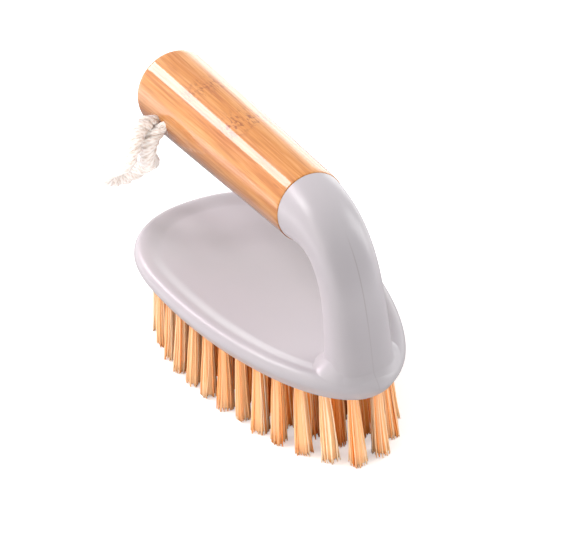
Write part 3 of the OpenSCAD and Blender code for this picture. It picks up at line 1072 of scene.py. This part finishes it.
class Head(Piece):
    """The head's skin, the swept neck and the spigot, as one moulding."""

    look = Look.HEAD
    stands_for = ("head_shell",)
    SIDES = 320
    NECK_SIDES = 144
    FOOT_SIDES = 288
    COLLAR = 0.7
    SPIGOT_SIDES = 48
    SPIGOT_DEEP = 4.0
    EVEN_OUT = 0.10
    WALL_CURVE = 1.25
    LIP_ROUND = ((0.12, 0.1), (0.38, 0.0))
    LIP_BREAK = 0.3
    HALVINGS = 40
    NECK_FINE_FROM = 0.86
    HIDDEN_OVER = 0.6
    HIDDEN_WITHIN = 1.5
    HIDDEN_SHRINK = 0.2
    FRONT_REACH = 1.7
    FOOT_FROM = 0.8
    FOOT_ROUNDS = 4
    SKIN_GAP = 0.02
    SHARP_DEG = 50.0

    def _profile(self) -> list[tuple[float, float]]:
        """Inset and height pairs, from the dish over the rim and down to the roof inside."""
        rise = HEAD.rim_z - HEAD.dish_z
        pairs = [
            (HEAD.rim_round + HEAD.dish_slope * (1 - u), HEAD.dish_z + rise * ease(u))
            for u in np.linspace(0, 1, 15)
        ]
        for a in quarter(15)[1:]:
            drop = HEAD.rim_round * (1 - math.cos(a))
            pairs.append((HEAD.rim_round * (1 - math.sin(a)), HEAD.rim_z - drop))
        wide_z = HEAD.rim_z - HEAD.rim_round
        fall = HEAD.edge_z + HEAD.edge_break - wide_z
        for u in np.linspace(0, 1, 9)[1:]:
            pairs.append((HEAD.wall_draft * u**self.WALL_CURVE, wide_z + fall * u))
        inner = HEAD.wall_draft + HEAD.wall_t
        pairs += [(HEAD.wall_draft + inset, HEAD.edge_z + height) for inset, height in self.LIP_ROUND]
        return pairs + [
            (inner - self.LIP_BREAK, HEAD.edge_z), (inner, HEAD.edge_z + self.LIP_BREAK),
            (inner, HEAD.cavity_z),
        ]

    def _skin(self) -> bpy.types.Object:
        """The head without the neck: its outline drawn in along the profile."""
        angles = around(self.SIDES)
        angles = angles + self.EVEN_OUT * np.sin(2 * angles)
        rings = [
            np.column_stack([outline(angles, inset), np.full(self.SIDES, height)])
            for inset, height in self._profile()
        ]
        return loft("head", np.array(rings)[::-1])

    @staticmethod
    def _curve(t: np.ndarray) -> np.ndarray:
        """The neck's centre line in X and Z: s^3 a + 3 s^2 t b + 3 s t^2 c + t^3 d, where s = 1 - t."""
        points = np.array([
            [NECK.joint_x, NECK.axis_z], [NECK.joint_x + NECK.reach, NECK.axis_z],
            [NECK.foot_x, NECK.foot_z + NECK.rise], [NECK.foot_x, NECK.foot_z],
        ])
        t = t[:, None]
        s = 1 - t
        return s**3 * points[0] + 3 * s * s * t * points[1] + 3 * s * t * t * points[2] + t**3 * points[3]

    @staticmethod
    def _halves(t: np.ndarray) -> tuple[np.ndarray, np.ndarray]:
        """Half the neck's depth and width: parabolas through the sizes at the joint, middle and foot."""
        return tuple(
            (NECK.end_d * (1 - t) * (1 - 2 * t) + 4 * middle * t * (1 - t) + foot * t * (2 * t - 1)) / 2
            for middle, foot in ((NECK.mid_d, NECK.foot_d), (NECK.mid_w, NECK.foot_w))
        )

    def _neck(self) -> bpy.types.Object:
        """The swept neck; the rings that the head hides are drawn in, so that none pokes out of the rim."""
        fine = self.NECK_FINE_FROM
        t = np.concatenate([np.linspace(0, fine, 90), np.linspace(fine, 1, 50)[1:]])
        centre = self._curve(t)
        way = unit(np.gradient(centre, t, axis=0))
        half_d, half_w = self._halves(t)
        power = 2 + (NECK.power - 2) * np.minimum(1, 2 * t)[:, None]
        angle = around(self.NECK_SIDES)[None, :]
        sunk = np.clip((HEAD.dish_z + self.HIDDEN_OVER - centre[:, 1:]) / self.HIDDEN_WITHIN, 0, 1)
        hidden = 1 - self.HIDDEN_SHRINK * sunk
        u = half_d[:, None] * squared(np.cos(angle), power) * hidden
        v = half_w[:, None] * squared(np.sin(angle), power) * hidden
        rings = np.stack([centre[:, :1] - u * way[:, 1:], v, centre[:, 1:] + u * way[:, :1]], -1)
        return loft("neck", rings[::-1])

    def _height(self, x: np.ndarray, y: np.ndarray) -> np.ndarray:
        """Height of the head's top skin: the flat dish, its slope, and the round of the rim.

        The inset of a point is where the outline drawn in by that inset passes through it, found by halving.

        Args:
            x: Where the points are, along X.
            y: Where they are, along Y.

        Returns:
            Their heights.
        """
        low, high = np.zeros_like(x), np.full_like(x, HEAD.width / 2 - 1.0)
        behind = x < HEAD.wide_x
        power = np.where(behind, HEAD.tail_power, HEAD.nose_power)
        for _ in range(self.HALVINGS):
            inset = (low + high) / 2
            reach = np.where(behind, HEAD.wide_at - inset, HEAD.nose_l - inset * HEAD.nose_draw)
            share_x, share_y = np.abs(x - HEAD.wide_x) / reach, np.abs(y) / (HEAD.width / 2 - inset)
            inside = share_x**power + share_y**power < 1
            low, high = np.where(inside, inset, low), np.where(inside, high, inset)
        slope = ease(np.clip((HEAD.rim_round + HEAD.dish_slope - low) / HEAD.dish_slope, 0, 1))
        over = np.clip(1 - low / HEAD.rim_round, 0, 1)
        rim = HEAD.rim_z - HEAD.rim_round * (1 - np.sqrt(1 - over**2))
        return np.where(low > HEAD.rim_round, HEAD.dish_z + (HEAD.rim_z - HEAD.dish_z) * slope, rim)

    def _foot(self) -> bpy.types.Object:
        """The round where the neck grows out of the head: it follows the skin and is tighter in front."""
        angle = around(self.FOOT_SIDES)
        cos, sin = squared(np.cos(angle), NECK.power), squared(np.sin(angle), NECK.power)
        forward = np.clip(self.FRONT_REACH * np.cos(angle), 0, 1)
        radius = NECK.foot_round * (1 - (1 - NECK.front_share) * forward)
        steps = np.linspace(self.FOOT_FROM, 1, 200)
        levels = self._curve(steps)
        t = np.ones_like(angle)
        for _ in range(self.FOOT_ROUNDS):
            half_d, half_w = self._halves(t)
            x, y = self._curve(t)[:, 0] + half_d * cos, half_w * sin
            t = np.interp(-(self._height(x, y) + radius), -levels[:, 1], steps)
        edge = np.stack([x, y], -1)
        along = unit(np.roll(edge, -1, 0) - np.roll(edge, 1, 0))
        normal = np.stack([along[:, 1], -along[:, 0]], -1)
        rings = []
        for a in quarter(13):
            off = radius * (1 - math.sin(a)) ** self.COLLAR - self.SKIN_GAP * math.sin(a)
            spread = edge + normal * off[:, None]
            lift = radius * (1 - math.cos(a)) ** self.COLLAR + self.SKIN_GAP
            rings.append(np.column_stack([spread, self._height(spread[:, 0], spread[:, 1]) + lift]))
        return loft("foot", np.array(rings))

    def _spigot(self) -> bpy.types.Object:
        """The hollow round end that the handle is pushed onto, with a broken edge."""
        length, radius, bore = NECK.spigot_l, NECK.spigot_r, NECK.spigot_bore_r
        profile = [
            (0.0, radius), (length - 1, radius), (length, radius - 1), (length, bore),
            (self.SPIGOT_DEEP, bore),
        ]
        return turned("spigot", profile, self.SPIGOT_SIDES)

    def build(self) -> bpy.types.Object:
        """Joins the four shells into one piece."""
        piece = join([self._skin(), self._neck(), self._foot(), self._spigot()], "moulded_head")
        piece.data.set_sharp_from_angle(angle=math.radians(self.SHARP_DEG))
        return piece


class Handle(Piece):
    """The turned bamboo handle with its rope hole."""

    look = Look.BAMBOO
    stands_for = ("bamboo_handle",)
    SIDES = 256
    HOLE_SIDES = 96
    POINT_R = 0.02
    CUT_PAST = 3.0
    SHARP_DEG = 28.0

    def _lathe(self) -> bpy.types.Object:
        """The handle before its hole is cut: the bore, the joint's edge, the taper and the rounded end."""
        root, end, edge = HANDLE.root_d / 2, HANDLE.end_d / 2, HANDLE.edge_break
        straight = HANDLE.length - HANDLE.end_round
        profile = [
            (HANDLE.bore_l, self.POINT_R), (HANDLE.bore_l, HANDLE.bore_r), (0.0, HANDLE.bore_r),
            (0.0, root - edge),
        ]
        for a in quarter(6)[1:]:
            profile.append((edge * (1 - math.cos(a)), root - edge * (1 - math.sin(a))))
        for u in np.linspace(0, 1, 40)[1:-1]:
            at = edge + (straight - edge) * u
            profile.append((at, root + (end - root) * at / straight))
        for a in quarter(13):
            drop = HANDLE.end_round * (1 - math.cos(a))
            profile.append((straight + HANDLE.end_round * math.sin(a), end - drop))
        profile.append((HANDLE.length, self.POINT_R))
        return turned("handle", profile, self.SIDES)

    def _cutter(self) -> bpy.types.Object:
        """The cross hole with its bevelled mouth."""
        radius, bevel = HANDLE.hole_d / 2, HANDLE.mouth_bevel
        reach = HANDLE.radius(HANDLE.length - HANDLE.hole_at)
        profile = [(reach - HANDLE.hole_depth, radius), (reach - bevel, radius)]
        profile += [(reach - bevel + bevel * u, radius + bevel * u) for u in (0.25, 0.5, 0.75, 1.0)]
        profile.append((reach + self.CUT_PAST, radius + bevel + self.CUT_PAST))
        along_x = np.array([1.0, 0.0, 0.0])
        across = np.cross(HANDLE.hole_way, along_x)
        ways = swung(along_x, across, around(self.HOLE_SIDES))
        middle = np.array([HANDLE.hole_x, 0.0, HANDLE.axis_z])
        rings = np.array([middle + HANDLE.hole_way * d + r * ways for d, r in profile])
        return loft("cutter", rings[:, ::-1])

    def build(self) -> bpy.types.Object:
        """Turns the handle and cuts the hole into its mesh.

        Returns:
            The handle.
        """
        piece, cutter = self._lathe(), self._cutter()
        for part in (piece, cutter):
            part.data.validate()
        cut = piece.modifiers.new("hole", "BOOLEAN")
        cut.operation = "DIFFERENCE"
        cut.solver = "EXACT"
        cut.object = cutter
        bpy.context.view_layer.update()
        evaluated = piece.evaluated_get(bpy.context.evaluated_depsgraph_get())
        mesh = bpy.data.meshes.new_from_object(evaluated)
        piece.modifiers.clear()
        old = piece.data
        piece.data = mesh
        bpy.data.meshes.remove(old)
        bpy.data.objects.remove(cutter)
        piece.name = "turned_handle"
        mesh.name = "turned_handle"
        mesh.polygons.foreach_set("use_smooth", np.full(len(mesh.polygons), True))
        mesh.set_sharp_from_angle(angle=math.radians(self.SHARP_DEG))
        return piece


class Tufts(Piece):
    """A ring of tufts, each a bundle of thin stiff filaments that spreads to its tips."""

    look = Look.BRISTLE
    SECTIONS = 7
    SIDES = 4
    CORE_LEVELS = 6
    CORE_SIDES = 14
    HELD = 0.11
    SPREAD = 1.12
    ROOT_FILL = 0.86
    LOOSE = 0.2
    STRAYS = 0.022
    STRAY_BY = 1.7
    BOW = 0.24
    BOW_POWER = 0.9
    FAN = (0.86, 1.08)
    TIP_SHORT = 0.34
    CUT_SHORT = 0.08
    CUT_SHORT_BY = 1.6
    THICKNESS = (0.78, 1.15)
    TIP_TAPER = 0.85
    TONE_SPREAD = 0.24
    TUFT_TONE_SPREAD = 0.1
    CORE_TO = 0.95
    CORE_ROOT = 0.8
    CORE_TIP = 0.84
    # How much lower the cores' tone is, as painted shade inside each tuft.
    CORE_PAINTED_SHADE = 0.1

    def __init__(self, kit: MaterialKit, ring: TuftRing) -> None:
        """Keeps the material kit and the ring."""
        super().__init__(kit)
        self.ring = ring
        self.stands_for = (ring.node,)

    def spots(self) -> np.ndarray:
        """Where the tufts are rooted, as in the plate's holes."""
        ring = self.ring
        if ring.node == "middle_tufts":
            back = HEAD.front_x - HEAD.length + ring.inset
            front = HEAD.front_x - HEAD.nose_draw * ring.inset - TUFT.step
            return np.column_stack([np.linspace(back, front, ring.count), np.zeros(ring.count)])
        loop = outline(np.linspace(0, TURN, 241), ring.inset)
        return at_distances(loop, (np.arange(ring.count) + 0.5) * travelled(loop)[-1] / ring.count)

    def build(self) -> bpy.types.Object:
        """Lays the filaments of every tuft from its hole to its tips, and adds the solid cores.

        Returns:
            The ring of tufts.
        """
        ring = self.ring
        rng = np.random.default_rng(ring.seed)
        spots = self.spots()
        outward = (spots - [HEAD.wide_x, 0.0]) / [HEAD.nose_l, HEAD.width / 2] + [0.0, 1e-4]
        count = len(spots) * ring.filaments
        tuft = np.repeat(np.arange(len(spots)), ring.filaments)
        share = np.sqrt(rng.uniform(0, 1, count))[:, None]
        turn = rng.uniform(0, TURN, count)
        disc = circle(turn) * share
        lean = unit(outward) * ring.lean + rng.uniform(-TUFT.wander, TUFT.wander, (len(spots), 2))
        fan = rng.uniform(*self.FAN, len(spots))
        root = spots[tuft] + disc * TUFT.root_r * self.ROOT_FILL
        loose = rng.normal(0, self.LOOSE, (count, 2)) * (0.4 + share)
        stray = (rng.uniform(0, 1, count) < self.STRAYS)[:, None] * rng.normal(0, self.STRAY_BY, (count, 2))
        tip = spots[tuft] + lean[tuft] + disc * (TUFT.tip_r * fan[tuft])[:, None] + loose + stray
        tip_z = np.abs(rng.normal(0, self.TIP_SHORT, count))
        tip_z += (rng.uniform(0, 1, count) < self.CUT_SHORT) * rng.uniform(0, self.CUT_SHORT_BY, count)
        bow = rng.normal(0, self.BOW, (count, 2))
        u = np.concatenate([[0.0], np.linspace(self.HELD, 1, self.SECTIONS - 1)])[None, :, None]
        free = np.clip((u - self.HELD) / (1 - self.HELD), 0, 1)
        bent = (free * (1 - free) * 4) ** self.BOW_POWER
        flat = root[:, None] + (tip - root)[:, None] * free**self.SPREAD + bow[:, None] * bent
        spine = np.concatenate([flat, TUFT.root_z + (tip_z[:, None, None] - TUFT.root_z) * u], -1)
        radius = TUFT.filament_d / 2 * rng.uniform(*self.THICKNESS, count)
        corner = rng.uniform(0, math.pi / 2, count)[:, None] + around(self.SIDES)[None, :]
        ring_xy = np.pad(circle(corner), ((0, 0), (0, 0), (0, 1))) * radius[:, None, None]
        taper = np.append(np.ones(self.SECTIONS - 1), self.TIP_TAPER)
        points = spine[:, :, None, :] + ring_xy[:, None, :, :] * taper[None, :, None, None]
        # Each filament's tone: the ring's, which is low on the inner rings as painted shade, spread at random
        # per filament and per tuft.
        tone = rng.normal(ring.tone, self.TONE_SPREAD, count)
        tone = np.clip(tone + rng.normal(0, self.TUFT_TONE_SPREAD, len(spots))[tuft], 0, 1)
        bristles = self._shells("bristles", points, tone, u[0, :, 0])
        return join([bristles, self._cores(spots, lean, fan)], ring.node.replace("tufts", "bristles"))

    def _cores(self, spots: np.ndarray, lean: np.ndarray, fan: np.ndarray) -> bpy.types.Object:
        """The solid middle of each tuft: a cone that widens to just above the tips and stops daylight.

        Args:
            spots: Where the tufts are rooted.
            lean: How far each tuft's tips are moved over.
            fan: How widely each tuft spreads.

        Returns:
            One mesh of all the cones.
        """
        u = np.linspace(self.HELD, self.CORE_TO, self.CORE_LEVELS)
        free = ((u - self.HELD) / (1 - self.HELD)) ** self.SPREAD
        narrow = TUFT.root_r * self.CORE_ROOT
        wide = narrow + (TUFT.tip_r * fan[:, None] * self.CORE_TIP - narrow) * free[None, :]
        middle = spots[:, None, :] + lean[:, None, :] * free[None, :, None]
        flat = middle[:, :, None, :] + circle(around(self.CORE_SIDES))[None, None] * wide[:, :, None, None]
        height = np.broadcast_to((TUFT.root_z * (1 - u))[None, :, None, None], flat.shape[:3] + (1,))
        # Painted shade: each core's tone is set lower than its ring's, for the shade inside the bundle.
        tone = np.full(len(spots), self.ring.tone - self.CORE_PAINTED_SHADE)
        return self._shells("cores", np.concatenate([flat, height], -1), tone, u)

    @staticmethod
    def _shells(name: str, points: np.ndarray, tone: np.ndarray, along: np.ndarray) -> bpy.types.Object:
        """Makes one mesh of many closed tubes that run downwards.

        Args:
            name: The mesh's name.
            points: An array of shape (tubes, levels, sides, 3), in millimetres.
            tone: Each tube's tone, with painted shade in it for the inner rings and the cores.
            along: How far down each level is, as a share.

        Returns:
            The linked object, with the tone, painted shade included, and the share stored on its points.
        """
        count, levels, sides = points.shape[:3]
        per = levels * sides
        bands = band_faces(levels, sides)[:, ::-1]
        caps = np.array([range(per - 1, per - sides - 1, -1), range(sides)])
        starts = (np.arange(count) * per)[:, None, None]
        faces = (bands[None] + starts).reshape(-1, 4).tolist()
        faces += (caps[None] + starts).reshape(-1, sides).tolist()
        piece = make_mesh(name, points.reshape(-1, 3), faces)
        point_values(piece, "tone", np.repeat(tone, per))
        point_values(piece, "along", np.tile(np.repeat(along, sides), count))
        return piece


class CarriedOver:
    """CAD nodes whose shape is right: they keep it and get a better finish."""

    NODES = {
        "bristle_plate": Look.PLATE, "handle_screw": Look.SCREW, "outer_staples": Look.STAPLE,
        "second_staples": Look.STAPLE, "third_staples": Look.STAPLE, "middle_staples": Look.STAPLE,
    }

    def __init__(self, kit: MaterialKit) -> None:
        """Keeps the material kit."""
        self.kit = kit

    def dress(self) -> None:
        """Gives each carried-over node its material."""
        for name, look in self.NODES.items():
            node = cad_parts[name]
            node.data.materials.clear()
            node.data.materials.append(self.kit.get(look))
            log.info("%s keeps its CAD shape", name)


def main() -> None:
    """Builds the scene: the camera and the rope first, then the other pieces, the floor and the light."""
    logging.basicConfig(level=logging.INFO, format="%(name)s: %(message)s")
    kit = MaterialKit()
    studio = Studio()
    studio.make_camera()
    soft = [Rope(kit).place()]
    Head(kit).place()
    Handle(kit).place()
    for ring in RINGS:
        soft.append(Tufts(kit, ring).place())
    CarriedOver(kit).dress()
    studio.make_floor()
    studio.make_light(soft)


if __name__ == "__main__":
    main()
